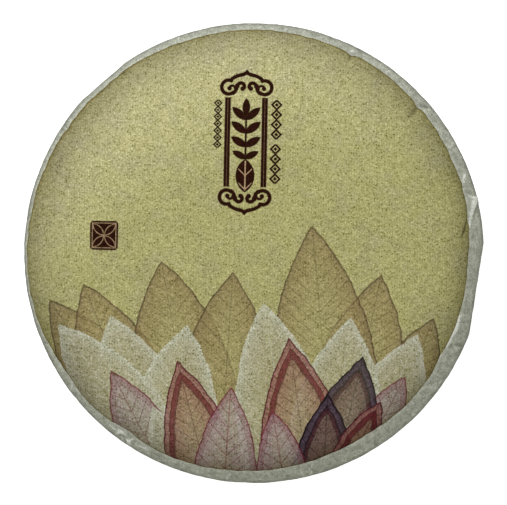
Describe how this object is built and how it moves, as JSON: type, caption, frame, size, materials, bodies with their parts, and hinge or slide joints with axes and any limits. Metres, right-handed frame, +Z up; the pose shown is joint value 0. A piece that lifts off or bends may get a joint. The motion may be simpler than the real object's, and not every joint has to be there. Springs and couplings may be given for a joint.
{
  "type": "pu erh tea cake",
  "caption": "Round pressed pu erh tea cake shut in a printed cotton-paper wrapper, domed face up, pleated and dimpled underneath.",
  "frame": {"origin": "Bottom centre of the bounding box, on the surface that the cake lies on.", "axes": "+Z up through the printed face, +Y towards the top of the print, +X to its right."},
  "size_m": [0.2, 0.2, 0.0252],
  "materials": {
    "wrapper_paper": "matte"
  },
  "bodies": {
    "root": {"wrapped_tea_cake": "wrapper_paper"}
  },
  "joints": []
}
